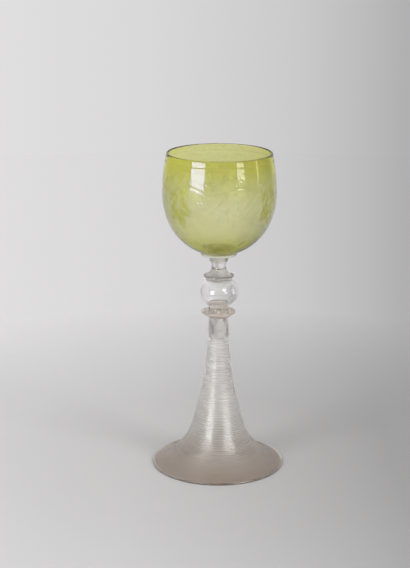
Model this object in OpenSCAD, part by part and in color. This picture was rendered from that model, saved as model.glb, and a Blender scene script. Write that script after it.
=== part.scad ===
// Roemer: a green wine bowl on a clear stem, over a tall hollow foot wound with a glass thread.
// Millimetres. The glass stands on z = 0 and its axis is Z.

/* [Bowl] */
// Width of the bowl outside, at its widest
bowl_d = 75.3; // [60:0.1:90]
// Height from the bottom of the bowl to its widest point
bowl_depth = 41.2; // [30:0.1:52]
// Height from the bowl's widest point to the top of the lip
bowl_upper_h = 27.45; // [18:0.05:36]
// How far the lip draws in from the widest point, on each side
lip_tuck = 2.8; // [1:0.1:6]
// Thickness of the bowl's wall
bowl_wall = 1.3; // [0.8:0.1:2.5]
// Thickness of the glass at the bottom of the bowl
bowl_base = 2; // [1:0.1:4]
// Slope in degrees at which the bowl's side turns into its bottom
bowl_turn = 28; // [20:1:50]

/* [Pad under the bowl] */
// Width of the dished pad that carries the bowl
pad_d = 24.4; // [16:0.1:28]
// Thickness of the pad under the middle of the bowl
pad_core = 1.6; // [0.8:0.1:4]
// Thickness of the pad's rounded edge
pad_edge = 1.8; // [0.6:0.1:2]

/* [Neck] */
// Width of the bead below the pad
neck_ring_d = 12.6; // [11:0.1:16]
// Height of the bead below the pad
neck_ring_h = 3.5; // [2:0.1:6]
// Thickness of the bead's rounded edge
neck_ring_edge = 2.6; // [1:0.1:3]
// Width of the bead's flat ends, between the neck and the pad
neck_ring_seat_d = 10.4; // [8:0.1:10.8]
// Width of the neck at its waist
neck_waist_d = 9.6; // [7:0.1:10]
// Height of the neck
neck_h = 7.2; // [5:0.1:10]
// Height of the waist above the foot of the neck
neck_waist_z = 4.8; // [3:0.1:6]
// Radius of the hollow curve of the neck
neck_hollow_r = 8; // [7:0.1:14]

/* [Collars] */
// Width of the collar under the neck
upper_collar_d = 20.2; // [17:0.1:28]
// Height of the collar under the neck
upper_collar_h = 3.3; // [2.5:0.1:6]
// Thickness of the rounded edge of that collar
upper_collar_edge = 1.6; // [0.8:0.1:2.2]
// Height of that rounded edge above the ring below
upper_collar_rise = 0.5; // [0:0.1:1.5]
// Width of the top of that collar, where the neck stands
upper_collar_top_d = 12.8; // [9:0.1:16]
// Width of the ring between that collar and the ball
knop_ring_d = 17.8; // [17:0.1:24]
// Height of the ring between that collar and the ball
knop_ring_h = 1.5; // [1:0.1:4]
// Thickness of the rounded edge of the ring
knop_ring_edge = 1.1; // [0.6:0.1:1.4]
// Width of the lower collar, between the ball and the foot
lower_collar_d = 22.8; // [17:0.1:32]
// Height of the lower collar's disc
lower_collar_h = 5.6; // [4:0.1:9]
// Thickness of the rounded edge of the lower collar
lower_collar_edge = 1.7; // [0.8:0.1:3]
// Height of the middle of that edge above the foot
lower_collar_edge_z = 3.4; // [2:0.1:4]
// Height of the short neck on top of the lower collar
collar_neck_h = 2.75; // [1:0.05:6]
// Width of that short neck, on which the ball sits
collar_neck_d = 14; // [10:0.1:16]

/* [Ball] */
// Width of the hollow ball
ball_d = 26.6; // [22:0.1:36]
// Radius of the curve of the ball's side, less than half its width on a squat ball
ball_round = 9.5; // [8:0.1:12]
// Thickness of the ball's wall
ball_wall = 1.6; // [0.8:0.1:3]
// Width of the ball's top joint, under the ring
ball_top_d = 16.6; // [12:0.1:16.8]
// Width of the hole through each joint of the ball
ball_bore_d = 7.6; // [4:0.1:9]

/* [Foot] */
// Width of the foot at its rim
foot_d = 89.6; // [70:0.1:110]
// Height of the foot, from the table to the lower collar
foot_h = 103.6; // [80:0.1:130]
// Width of the foot at its top
foot_top_d = 12.2; // [9:0.1:13.6]
// Thickness of the foot's wall
foot_wall = 1.8; // [1:0.1:3]
// Depth that is ground off under the rounded rim, so that it stands flat
foot_ground = 0.3; // [0.1:0.05:0.4]
// Slope in degrees from upright at which the stem's sweep turns into the flare
foot_turn = 17; // [12:1:24]
// Slope in degrees from upright at which the flare meets the rim
foot_rim_slope = 74; // [66:1:80]
// Height of solid glass above the spring of the hollow's dome
foot_plug = 9; // [6:0.1:20]

/* [Glass thread] */
// Thickness of the thread wound on the foot
thread_d = 1.2; // [0.8:0.1:1.8]
// Number of turns of the thread
thread_turns = 24; // [8:1:24]
// Clear glass between the drops and the first turn
thread_start = 1.2; // [0.8:0.1:6]
// Distance along the foot from the last turn to the rim's bead
thread_stop = 1.4; // [1:0.1:8]

/* [Tear drops] */
// Number of drops round the top of the foot
drop_count = 6; // [3:1:6]
// Length of a drop
drop_length = 14.6; // [10:0.1:20]
// Thickness of a drop near its top
drop_top_d = 4.4; // [3:0.1:5]
// Thickness of a drop near its bottom
drop_bottom_d = 6.4; // [5:0.1:7]
// How far a drop stands out from the foot at its top
drop_top_proud = 0.6; // [0.3:0.1:1.2]
// How far a drop stands out from the foot at its bottom
drop_bottom_proud = 1.2; // [0.6:0.1:1.8]
// Turn of the drops about the axis, in degrees
drop_angle = 4.5; // [-30:0.5:30]

/* [Fit] */
// Gap left where two curved faces lie against each other
seat_gap = 0.05; // [0.02:0.01:0.2]
// Gap between the drops and the collar above them
drop_gap = 0.3; // [0.1:0.1:1]

/* [Hidden] */
$fn = 120;
arc_sag = 0.02;
thread_sides = 6;
thread_rings = 24;

green = [0.74, 0.75, 0.3];
clear = [0.86, 0.87, 0.88];
smoke = [0.78, 0.75, 0.71];

function toward(angle) = [cos(angle), sin(angle)];

// Points on a circle from one angle up to, but without, another, close enough to hold arc_sag
function arc(centre, r, from, to) =
    let (steps = max(1, ceil(abs(to - from) / (2 * acos(1 - arc_sag / r)))))
    [for (i = [0:steps - 1]) centre + r * toward(from + (to - from) * i / steps)];

// Radii of two tangent arcs that go out by dr and along by dz, from upright through slope turn to slope end
function arc_radii(dr, dz, turn, end) =
    let (
        out_1 = 1 - cos(turn),
        out_2 = cos(turn) - cos(end),
        along_1 = sin(turn),
        along_2 = sin(end) - sin(turn),
        det = out_1 * along_2 - along_1 * out_2
    )
    [(dr * along_2 - dz * out_2) / det, (out_1 * dz - along_1 * dr) / det];

// Direction from a circle's centre to where a line from p touches it, on the side given by 1 or -1
function tangent_angle(p, centre, r, side) =
    let (away = p - centre)
    atan2(away.y, away.x) + side * acos(r / norm(away));

// Half outline of a turned disc: flat below to base_r and above to top_r, h high, widest at edge_z
function disc_outline(base_r, top_r, r, h, edge_z, edge) =
    let (
        edge_r = edge / 2,
        centre = [r - edge_r, edge_z],
        low = tangent_angle([base_r, 0], centre, edge_r, 1),
        high = tangent_angle([top_r, h], centre, edge_r, -1)
    )
    concat([[0, 0], [base_r, 0]], arc(centre, edge_r, low, high), [centre + edge_r * toward(high)],
        [[top_r, h], [0, h]]);

// The stack, from the table up
ball_r = ball_d / 2;
ball_centre = [ball_r - ball_round, 0];
ball_up = sqrt(pow(ball_round, 2) - pow(ball_top_d / 2 - ball_centre.x, 2));
ball_down = sqrt(pow(ball_round, 2) - pow(collar_neck_d / 2 - ball_centre.x, 2));
lower_collar_z = foot_h;
ball_z = lower_collar_z + lower_collar_h + collar_neck_h + ball_down;
knop_ring_z = ball_z + ball_up;
upper_collar_z = knop_ring_z + knop_ring_h;
neck_z = upper_collar_z + upper_collar_h;
neck_ring_z = neck_z + neck_h;
pad_z = neck_ring_z + neck_ring_h;
bowl_z = pad_z + pad_core + bowl_depth;

// Half outline of a bowl's lower part, of half width a and depth b, from a slope below level to its bottom.
// It is moved out by off, and height 0 is at its widest point.
function bowl_side(a, b) = arc_radii(a, b, bowl_turn, 90)[0];
function bowl_bottom(a, b) = arc_radii(a, b, bowl_turn, 90)[1];
function bowl_lower(a, b, from, off = 0) =
    concat(
        from < bowl_turn ? arc([a - bowl_side(a, b), 0], bowl_side(a, b) + off, -from, -bowl_turn) : [],
        arc([0, bowl_bottom(a, b) - b], bowl_bottom(a, b) + off, -max(from, bowl_turn), -90),
        [[0, -b - off]]
    );

// The foot's outline: a long sweep, a flare and the rounded rim
foot_top_r = foot_top_d / 2;
rim_r = foot_wall / 2;
rim_centre = [foot_d / 2 - rim_r, rim_r - foot_ground];
rim_join = rim_centre + rim_r * toward(foot_rim_slope);
foot_radii = arc_radii(rim_join.x - foot_top_r, foot_h - rim_join.y, foot_turn, foot_rim_slope);
sweep_r = foot_radii[0];
flare_r = foot_radii[1];
sweep_centre = [foot_top_r + sweep_r, foot_h];
flare_centre = rim_join + flare_r * toward(foot_rim_slope);
sweep_length = sweep_r * foot_turn * PI / 180;
flare_length = flare_r * (foot_rim_slope - foot_turn) * PI / 180;

// Radius of the sweep, drawn in by inset, at height z
function sweep_at(z, inset = 0) =
    sweep_centre.x - sqrt(pow(sweep_r + inset, 2) - pow(sweep_centre.y - z, 2));

// Slope and place of the foot's outline at a distance s down it from the top
function foot_slope(s) =
    s < sweep_length
    ? s / sweep_r * 180 / PI
    : foot_turn + (s - sweep_length) / flare_r * 180 / PI;
function foot_point(s) =
    let (slope = foot_slope(s))
    s < sweep_length
    ? sweep_centre - sweep_r * toward(slope)
    : flare_centre - flare_r * toward(slope);

// The drops: ends of the axis of each, as radius and height
drop_top_r = drop_top_d / 2;
drop_bottom_r = drop_bottom_d / 2;
drop_end_z = foot_h - drop_gap - drop_length;
drop_top_z = foot_h - drop_gap - drop_top_r;
drop_bottom_z = drop_end_z + drop_bottom_r;
drop_top = [sweep_at(drop_top_z) + drop_top_proud - drop_top_r, drop_top_z];
drop_bottom = [sweep_at(drop_bottom_z) + drop_bottom_proud - drop_bottom_r, drop_bottom_z];
drop_axis = drop_top - drop_bottom;
drop_lean = atan2(drop_axis.x, drop_axis.y);

// The thread: its first and last place on the outline, and the middle of each ring of its tube
thread_r = thread_d / 2;
thread_seat = thread_r * cos(180 / thread_sides) + seat_gap;
thread_first_slope = asin((foot_h - drop_end_z + thread_start + thread_r) / sweep_r);
thread_first = sweep_r * thread_first_slope * PI / 180;
thread_last = sweep_length + flare_length - thread_stop;
thread_count = thread_turns * thread_rings;
// Rings stand a little outside the round, so that the straight runs between them clear the foot
ring_reach = 1 / cos(180 / thread_rings);
function thread_place(i) = thread_first + (thread_last - thread_first) * i / thread_count;
function thread_middle(i) =
    let (s = thread_place(i))
    foot_point(s) + thread_seat * toward(foot_slope(s));
function around(point, i) =
    let (angle = 360 * i / thread_rings)
    [point.x * ring_reach * cos(angle), point.x * ring_reach * sin(angle), point.y];
function thread_ring(i) =
    let (slope = foot_slope(thread_place(i)))
    [for (k = [0:thread_sides - 1])
        around(thread_middle(i) + thread_r * toward(slope - 360 * (k + 0.5) / thread_sides), i)];
thread_line = [for (i = [0:thread_count]) around(thread_middle(i), i)];
thread_gap = min([for (i = [0:thread_count - thread_rings - 1], j = [0:1])
    norm(thread_line[i + thread_rings + j] - thread_line[i])]) - thread_d;
echo(thread_least_gap = thread_gap);

// The green bowl, with a rounded lip
module bowl() {
    outer_r = bowl_d / 2;
    lip_h = bowl_upper_h - bowl_wall / 2;
    upper_r = (pow(lip_h, 2) + pow(lip_tuck, 2)) / (2 * lip_tuck);
    upper_centre = [outer_r - upper_r, 0];
    lip_slope = asin(lip_h / (upper_r - bowl_wall / 2));
    lip_centre = upper_centre + (upper_r - bowl_wall / 2) * toward(lip_slope);
    outside = bowl_lower(outer_r, bowl_depth, 0);
    inside = bowl_lower(outer_r - bowl_wall, bowl_depth - bowl_base, 0);
    color(green)
    translate([0, 0, bowl_z])
    rotate_extrude()
    polygon(concat(
        [for (i = [len(outside) - 1:-1:1]) outside[i]],
        arc(upper_centre, upper_r, 0, lip_slope),
        arc(lip_centre, bowl_wall / 2, lip_slope, lip_slope + 180),
        arc(upper_centre, upper_r - bowl_wall, lip_slope, 0),
        inside
    ));
}

// The dished clear pad that the bowl sits in
module bowl_pad() {
    outer_r = bowl_d / 2;
    edge_r = pad_edge / 2;
    edge_at = pad_d / 2 - edge_r;
    off = seat_gap + edge_r;
    side_r = bowl_side(outer_r, bowl_depth) + off;
    bottom_r = bowl_bottom(outer_r, bowl_depth) + off;
    side_x = outer_r + off - side_r;
    on_side = edge_at > bottom_r * cos(bowl_turn);
    // Slope at which the pad's rounded edge meets the bowl
    slope = on_side ? acos((edge_at - side_x) / side_r) : acos(edge_at / bottom_r);
    bowl_at = on_side ? [side_x, 0] : [0, bottom_r - off - bowl_depth];
    lift = [0, pad_core + bowl_depth];
    centre = lift + bowl_at + (on_side ? side_r : bottom_r) * toward(-slope);
    low = tangent_angle([neck_ring_seat_d / 2, 0], centre, edge_r, 1);
    color(clear)
    translate([0, 0, pad_z])
    rotate_extrude()
    polygon(concat(
        [[0, 0], [neck_ring_seat_d / 2, 0]],
        arc(centre, edge_r, low, 180 - slope),
        [for (p = bowl_lower(outer_r, bowl_depth, slope, seat_gap)) p + lift]
    ));
}

// The bead below the pad
module neck_ring() {
    seat_r = neck_ring_seat_d / 2;
    color(clear)
    translate([0, 0, neck_ring_z])
    rotate_extrude()
    polygon(disc_outline(seat_r, seat_r, neck_ring_d / 2, neck_ring_h, neck_ring_h / 2, neck_ring_edge));
}

// The waisted neck
module stem_neck() {
    hollow = [neck_waist_d / 2 + neck_hollow_r, neck_waist_z];
    low = 180 + asin(neck_waist_z / neck_hollow_r);
    high = 180 - asin((neck_h - neck_waist_z) / neck_hollow_r);
    color(clear)
    translate([0, 0, neck_z])
    rotate_extrude()
    polygon(concat(
        [[0, 0]],
        arc(hollow, neck_hollow_r, low, high),
        [hollow + neck_hollow_r * toward(high), [0, neck_h]]
    ));
}

// The collar under the neck
module upper_collar() {
    color(clear)
    translate([0, 0, upper_collar_z])
    rotate_extrude()
    polygon(disc_outline(ball_top_d / 2, upper_collar_top_d / 2, upper_collar_d / 2, upper_collar_h,
        upper_collar_edge / 2 + upper_collar_rise, upper_collar_edge));
}

// The thin ring between that collar and the ball
module knop_ring() {
    seat_r = ball_top_d / 2;
    color(clear)
    translate([0, 0, knop_ring_z])
    rotate_extrude()
    polygon(disc_outline(seat_r, seat_r, knop_ring_d / 2, knop_ring_h, knop_ring_h / 2, knop_ring_edge));
}

// The hollow ball, open at its joints
module ball_knop() {
    inner_r = ball_round - ball_wall;
    bore_r = ball_bore_d / 2;
    bore_slope = acos((bore_r - ball_centre.x) / inner_r);
    past = ball_up + ball_down;
    color(clear)
    translate([0, 0, ball_z])
    rotate_extrude()
    difference() {
        polygon(concat(
            [[0, -ball_down]],
            arc(ball_centre, ball_round, -asin(ball_down / ball_round), asin(ball_up / ball_round)),
            [[ball_top_d / 2, ball_up], [0, ball_up]]
        ));
        polygon(concat(
            [[0, -past], [bore_r, -past]],
            arc(ball_centre, inner_r, -bore_slope, bore_slope),
            [[bore_r, inner_r * sin(bore_slope)], [bore_r, past], [0, past]]
        ));
    }
}

// The lower collar, with the short neck that the ball sits on
module lower_collar() {
    neck_r = collar_neck_d / 2;
    top = lower_collar_h + collar_neck_h;
    disc = disc_outline(neck_r, neck_r, lower_collar_d / 2, lower_collar_h,
        lower_collar_edge_z, lower_collar_edge);
    color(smoke)
    translate([0, 0, lower_collar_z])
    rotate_extrude()
    polygon(concat([for (i = [0:len(disc) - 2]) disc[i]], [[neck_r, top], [0, top]]));
}

// The tall foot, hollow from below, with a rounded rim
module foot() {
    dome_z = foot_h - foot_plug;
    dome_r = sweep_at(dome_z, foot_wall);
    dome_slope = asin(foot_plug / (sweep_r + foot_wall));
    inner_end = asin(flare_centre.y / (flare_r + foot_wall));
    color(smoke)
    rotate_extrude()
    polygon(concat(
        [[0, foot_h]],
        arc(sweep_centre, sweep_r, 180, 180 + foot_turn),
        arc(flare_centre, flare_r, 180 + foot_turn, 180 + foot_rim_slope),
        arc(rim_centre, rim_r, foot_rim_slope, -asin(rim_centre.y / rim_r)),
        [[rim_centre.x + sqrt(pow(rim_r, 2) - pow(rim_centre.y, 2)), 0]],
        arc(flare_centre, flare_r + foot_wall, 180 + inner_end, 180 + foot_turn),
        arc(sweep_centre, sweep_r + foot_wall, 180 + foot_turn, 180 + dome_slope),
        arc([0, dome_z], dome_r, 0, 90),
        [[0, dome_z + dome_r]]
    ));
}

// The glass thread, wound down the foot as one unbroken tube
module foot_thread() {
    sides = thread_sides;
    points = [for (i = [0:thread_count]) each thread_ring(i)];
    walls = [for (i = [0:thread_count - 1], k = [0:sides - 1])
        let (
            a = i * sides + k,
            b = i * sides + (k + 1) % sides
        )
        each [[a, b, a + sides], [b, b + sides, a + sides]]];
    first_cap = [for (k = [1:sides - 2]) [0, k + 1, k]];
    last = thread_count * sides;
    last_cap = [for (k = [1:sides - 2]) [last, last + k, last + k + 1]];
    color(clear)
    polyhedron(points, concat(walls, first_cap, last_cap), convexity = 12);
}

// One tear drop, drawn down the top of the foot and cut to lie against it
module tear_drop(i) {
    length = norm(drop_axis);
    taper = asin((drop_bottom_r - drop_top_r) / length);
    top = [0, length];
    cut_z = drop_end_z - drop_bottom_r;
    color(clear)
    rotate(360 * (i - 1) / drop_count - 90 + drop_angle)
    difference() {
        translate([drop_bottom.x, 0, drop_bottom.y])
        rotate([0, drop_lean, 0])
        rotate_extrude()
        polygon(concat(
            arc([0, 0], drop_bottom_r, -90, taper),
            [drop_bottom_r * toward(taper)],
            arc(top, drop_top_r, taper, 90),
            [top + [0, drop_top_r]]
        ));
        translate([0, 0, cut_z])
        cylinder(h = foot_h - cut_z, r1 = sweep_at(cut_z) + seat_gap, r2 = foot_top_r + seat_gap);
    }
}

bowl();
bowl_pad();
neck_ring();
stem_neck();
upper_collar();
knop_ring();
ball_knop();
lower_collar();
foot();
foot_thread();
for (i = [1:drop_count])
    tear_drop(i);
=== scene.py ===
# %% [markdown]
# # A roemer, turned, wound and cut
#
# A roemer is a wine glass with a round green bowl on a clear stem and a tall hollow foot. A glassmaker blows
# the bowl, joins it to a pad, a neck, some collars and a hollow ball, and winds a hot glass thread round the
# foot. When it is cold, an engraver cuts a vine into the bowl with a small stone wheel.
#
# Nearly every piece is round, so this lesson draws half an outline, vertex by vertex, and spins it about the
# axis, as a turner would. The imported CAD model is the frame: it says where each joint lies.

# %% Open the frame
import math

import bpy
import numpy as np
from mathutils import Matrix, Vector


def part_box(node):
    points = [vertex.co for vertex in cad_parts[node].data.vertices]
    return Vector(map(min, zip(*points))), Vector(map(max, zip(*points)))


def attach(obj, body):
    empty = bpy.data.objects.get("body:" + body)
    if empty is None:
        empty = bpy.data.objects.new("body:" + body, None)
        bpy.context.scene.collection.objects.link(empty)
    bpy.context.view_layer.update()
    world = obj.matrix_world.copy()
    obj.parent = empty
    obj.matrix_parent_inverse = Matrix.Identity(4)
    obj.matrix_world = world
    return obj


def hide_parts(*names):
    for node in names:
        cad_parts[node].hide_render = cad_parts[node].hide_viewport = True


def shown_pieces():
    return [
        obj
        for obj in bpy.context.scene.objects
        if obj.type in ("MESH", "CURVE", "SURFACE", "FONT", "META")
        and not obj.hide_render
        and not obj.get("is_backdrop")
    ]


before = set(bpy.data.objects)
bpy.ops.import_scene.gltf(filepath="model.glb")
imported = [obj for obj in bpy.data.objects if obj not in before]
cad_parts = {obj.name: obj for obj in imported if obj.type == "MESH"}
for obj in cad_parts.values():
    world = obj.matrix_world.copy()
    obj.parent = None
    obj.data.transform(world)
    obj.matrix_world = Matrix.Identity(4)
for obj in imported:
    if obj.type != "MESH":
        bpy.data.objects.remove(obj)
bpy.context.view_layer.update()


# %% [markdown]
# ## Millimetres, and where each piece begins and ends
#
# Glass is measured in millimetres and Blender works in metres, so outlines are drawn in millimetres and made
# metres as their vertices are placed. The frame's boxes give each piece's radius, foot and top.
#
# Pieces of hot glass fuse, and light sees no face between them. Two separate meshes that only touch would
# show such a face, so each piece reaches a hair into its neighbour.

# %% Read the frame in millimetres
MM = 0.001
FUSE = 0.03  # how far a piece reaches into its neighbour


def foot_of(node):
    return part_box(node)[0].z / MM


def top_of(node):
    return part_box(node)[1].z / MM


def radius_of(node):
    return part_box(node)[1].x / MM


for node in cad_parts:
    print(f"{node}: {foot_of(node):.2f} to {top_of(node):.2f} mm high, reaching {radius_of(node):.2f} mm")


# %% [markdown]
# ## The lathe
#
# A hand modeller starts an outline from one vertex and extrudes it again and again. Spin would turn it, but
# it is slow when the steps are many, so a Screw modifier with no rise turns it here, and is applied at once.
# Where the outline meets the axis, one vertex per step piles up, so doubles are merged, and the faces are
# then made to point outwards.

# %% Draw an outline and turn it
SAME_PLACE = 0.001  # vertices closer than this are merged
TURNED_CREASE = 30  # degrees, past which an edge stays sharp


def toward(degrees):
    return Vector((math.cos(math.radians(degrees)), math.sin(math.radians(degrees))))


def arc(centre, radius, start, end, steps):
    """Points on a circle from one angle to another, as radius and height."""
    return [centre + radius * toward(start + (end - start) * i / steps) for i in range(steps + 1)]


def draw_outline(name, outline):
    """A chain of edges through points of radius and height, extruded one by one."""
    places = [Vector((r * MM, 0, z * MM)) for r, z in outline]
    bpy.ops.object.select_all(action="DESELECT")
    bpy.ops.mesh.primitive_plane_add(size=MM, location=(0, 0, 0))
    piece = bpy.context.object
    piece.name = piece.data.name = name
    bpy.ops.object.mode_set(mode="EDIT")
    bpy.ops.mesh.select_all(action="SELECT")
    bpy.ops.mesh.merge(type="CENTER")
    bpy.ops.transform.translate(value=places[0])
    for here, there in zip(places, places[1:]):
        bpy.ops.mesh.extrude_vertices_move(TRANSFORM_OT_translate={"value": there - here})
    return piece


def close_up(crease):
    """Merges what lies in one place, turns the faces outwards and smooths all but the creases."""
    bpy.ops.object.mode_set(mode="EDIT")
    bpy.ops.mesh.select_all(action="SELECT")
    bpy.ops.mesh.remove_doubles(threshold=SAME_PLACE * MM)
    bpy.ops.mesh.normals_make_consistent(inside=False)
    bpy.ops.object.mode_set(mode="OBJECT")
    bpy.ops.object.shade_smooth_by_angle(angle=math.radians(crease))


def turn(name, outline, steps):
    """A closed piece, turned from half its outline."""
    piece = draw_outline(name, outline)
    bpy.ops.object.mode_set(mode="OBJECT")
    bpy.ops.object.modifier_add(type="SCREW")
    screw = piece.modifiers[-1]
    screw.steps = screw.render_steps = steps
    bpy.ops.object.modifier_apply(modifier=screw.name)
    close_up(TURNED_CREASE)
    print(f"{name}: {len(outline)} points turned in {steps} steps, {len(piece.data.polygons)} faces")
    return piece


# %% [markdown]
# ## The foot
#
# The foot is a trumpet, blown and opened out: a long slow sweep that turns into a quick flare. Two arcs that
# meet without a kink give that line with few numbers, and the wall follows the same arcs a little further
# from their centres. Inside, the hollow ends in a dome under solid glass. The rim is a rounded bead, ground
# flat below.

# %% Turn the foot
foot_r = radius_of("foot")
foot_h = top_of("foot")
FOOT_TOP_R = 6.1
FOOT_WALL = 1.8
FOOT_GROUND = 0.3  # ground away below the rim's bead
FOOT_TURN = 17  # slope from upright where the sweep becomes the flare
FOOT_RIM_SLOPE = 74
FOOT_PLUG = 18  # from the dome's spring up to the foot's top
FOOT_STEPS = 192


def two_arcs(out, along, turn_at, end):
    """Radii of two smooth arcs that together go out and along, from upright to the slope end."""
    turn_at, end = math.radians(turn_at), math.radians(end)
    out_1, out_2 = 1 - math.cos(turn_at), math.cos(turn_at) - math.cos(end)
    along_1, along_2 = math.sin(turn_at), math.sin(end) - math.sin(turn_at)
    det = out_1 * along_2 - along_1 * out_2
    return (out * along_2 - along * out_2) / det, (out_1 * along - along_1 * out) / det


rim_r = FOOT_WALL / 2
rim_centre = Vector((foot_r - rim_r, rim_r - FOOT_GROUND))
rim_join = rim_centre + rim_r * toward(FOOT_RIM_SLOPE)
sweep_r, flare_r = two_arcs(rim_join.x - FOOT_TOP_R, foot_h - rim_join.y, FOOT_TURN, FOOT_RIM_SLOPE)
sweep_centre = Vector((FOOT_TOP_R + sweep_r, foot_h))
flare_centre = rim_join + flare_r * toward(FOOT_RIM_SLOPE)


def sweep_at(z, inset=0.0):
    """Radius of the sweep at a height, drawn in by inset."""
    return sweep_centre.x - math.sqrt((sweep_r + inset) ** 2 - (sweep_centre.y - z) ** 2)


dome_z = foot_h - FOOT_PLUG
dome_slope = math.degrees(math.asin(FOOT_PLUG / (sweep_r + FOOT_WALL)))
ground_slope = -math.degrees(math.asin(rim_centre.y / rim_r))
inner_end = math.degrees(math.asin(flare_centre.y / (flare_r + FOOT_WALL)))
foot = turn("trumpet_foot", [
    Vector((0, foot_h + FUSE)), Vector((FOOT_TOP_R, foot_h + FUSE)),
    *arc(sweep_centre, sweep_r, 180, 180 + FOOT_TURN, 40),
    *arc(flare_centre, flare_r, 180 + FOOT_TURN, 180 + FOOT_RIM_SLOPE, 44)[1:],
    *arc(rim_centre, rim_r, FOOT_RIM_SLOPE, ground_slope, 12)[1:],
    *arc(flare_centre, flare_r + FOOT_WALL, 180 + inner_end, 180 + FOOT_TURN, 36),
    *arc(sweep_centre, sweep_r + FOOT_WALL, 180 + FOOT_TURN, 180 + dome_slope, 32)[1:],
    *arc(Vector((0, dome_z)), sweep_at(dome_z, FOOT_WALL), 0, 90, 8)[1:],
], FOOT_STEPS)


# %% [markdown]
# ## The wound thread
#
# A gather of hot glass touches the turning foot and is drawn out into a thread that winds down it, dozens of
# times, and sinks on as it lands, so its section is a low arch. The path is a helix that follows the foot's
# outline, so it is a curve with that arch as its bevel, tilted point by point to lie on the slope. No two
# turns of a hand-wound thread are quite alike, so slow waves shift the pitch and the thickness a little. On
# the flare the thread has melted further in, so the path sinks there by degrees and its lines grow faint.

# %% Follow the foot's outline
sweep_length = sweep_r * math.radians(FOOT_TURN)
flare_length = flare_r * math.radians(FOOT_RIM_SLOPE - FOOT_TURN)


def foot_slope(s):
    """Slope from upright, in degrees, at a distance down the foot's outline."""
    if s < sweep_length:
        return math.degrees(s / sweep_r)
    return FOOT_TURN + math.degrees((s - sweep_length) / flare_r)


def foot_point(s):
    slope = foot_slope(s)
    if s < sweep_length:
        return sweep_centre - sweep_r * toward(slope)
    return flare_centre - flare_r * toward(slope)


print(f"foot's outline: {sweep_length:.1f} mm of sweep and {flare_length:.1f} of flare")

# %% Make the thread's section
THREAD_WIDTH = 1.75
THREAD_HEIGHT = 0.4
THREAD_ARCH_POINTS = 11


def thread_section():
    """The arch, as a closed flat curve that reaches a hair into the foot."""
    bpy.ops.curve.primitive_bezier_circle_add(radius=MM)
    section = bpy.context.object
    section.data.dimensions = "2D"
    section.data.splines.clear()
    arch = [(THREAD_WIDTH / 2 * t, THREAD_HEIGHT * (0.5 + 0.5 * math.cos(math.pi * t)))
            for t in np.linspace(1, -1, THREAD_ARCH_POINTS)]
    arch = [(arch[0][0], -FUSE), *arch, (arch[-1][0], -FUSE)]
    spline = section.data.splines.new("POLY")
    spline.points.add(len(arch) - 1)
    for point, (across, up) in zip(spline.points, arch):
        point.co = (up * MM, across * MM, 0, 1)
    spline.use_cyclic_u = True
    return section


section = thread_section()
print(f"thread's section: an arch {THREAD_WIDTH} mm wide and {THREAD_HEIGHT} high")

# %% Wind the thread
THREAD_TURNS = 58
THREAD_POINTS = 96  # in each turn
THREAD_START = 16.8  # along the foot's outline from its top
THREAD_STOP = 0.7  # before the rim's bead
THREAD_CLOSING = 0.09  # how much closer than even the last turns lie, and wider the first
THREAD_SUNK = 0.3  # how deep it melts into the flare
SINKS_FROM, SINKS_OVER = 0.45, 0.3  # shares of the winding
THREAD_CREASE = 60
PITCH_WAVES = ((0.04, 1.7), (0.05, 0.61))  # each wave's height, and its speed with the turns
THICKNESS_WAVES = ((0.03, 2.3), (0.02, 5.1))


def slow_waves(turns, parts):
    return sum(size * math.sin(speed * turns) for size, speed in parts)


def wind_thread(section):
    bpy.ops.object.select_all(action="DESELECT")
    bpy.ops.curve.primitive_nurbs_path_add(radius=MM)
    thread = bpy.context.object
    thread.name = "wound_thread"
    curve = thread.data
    curve.splines.clear()
    spline = curve.splines.new("POLY")
    count = THREAD_TURNS * THREAD_POINTS
    spline.points.add(count)
    length = sweep_length + flare_length - THREAD_STOP - THREAD_START
    for i, point in enumerate(spline.points):
        turns = i / THREAD_POINTS
        wander = slow_waves(turns, PITCH_WAVES) * min(1, turns, THREAD_TURNS - turns)
        done = i / count
        done *= 1 + THREAD_CLOSING * (1 - done)
        s = THREAD_START + length * done + wander
        sunk = THREAD_SUNK * min(1, max(0, (done - SINKS_FROM) / SINKS_OVER))
        place = foot_point(s) - sunk * toward(foot_slope(s))
        angle = math.tau * turns
        point.co = (place.x * math.cos(angle) * MM, place.x * math.sin(angle) * MM, place.y * MM, 1)
        point.tilt = -math.radians(foot_slope(s))
        point.radius = 1 + slow_waves(turns, THICKNESS_WAVES)
    curve.twist_mode = "Z_UP"
    curve.bevel_mode = "OBJECT"
    curve.bevel_object = section
    curve.use_fill_caps = True
    bpy.ops.object.convert(target="MESH")
    bpy.data.objects.remove(section)
    close_up(THREAD_CREASE)
    return thread


thread = wind_thread(section)
print(f"wound_thread: {THREAD_TURNS} turns, {len(thread.data.polygons)} faces")


# %% [markdown]
# ## The tear drops
#
# Six drops of glass are set round the top of the foot and drawn down while soft, thin above and full below.
# One is made from a ball: its upper half is drawn up and made smaller, and the long faces that this leaves
# are divided. It is then cut to the shape of the foot it lies on, and copied round the axis.

# %% Make one drop
DROP_LENGTH = 14.6
DROP_TOP_R = 1.9
DROP_BOTTOM_R = 3.2
DROP_TOP_PROUD = 0.9
DROP_BOTTOM_PROUD = 1.2
DROP_GAP = 0.3  # from the foot's top
DROP_LONG_EDGE, DROP_CUTS = 2, 8  # edges longer than this are divided

drop_top_z = foot_h - DROP_GAP - DROP_TOP_R
drop_bottom_z = foot_h - DROP_GAP - DROP_LENGTH + DROP_BOTTOM_R
drop_top = Vector((sweep_at(drop_top_z) + DROP_TOP_PROUD - DROP_TOP_R, 0, drop_top_z)) * MM
drop_bottom = Vector((sweep_at(drop_bottom_z) + DROP_BOTTOM_PROUD - DROP_BOTTOM_R, 0, drop_bottom_z)) * MM


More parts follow.
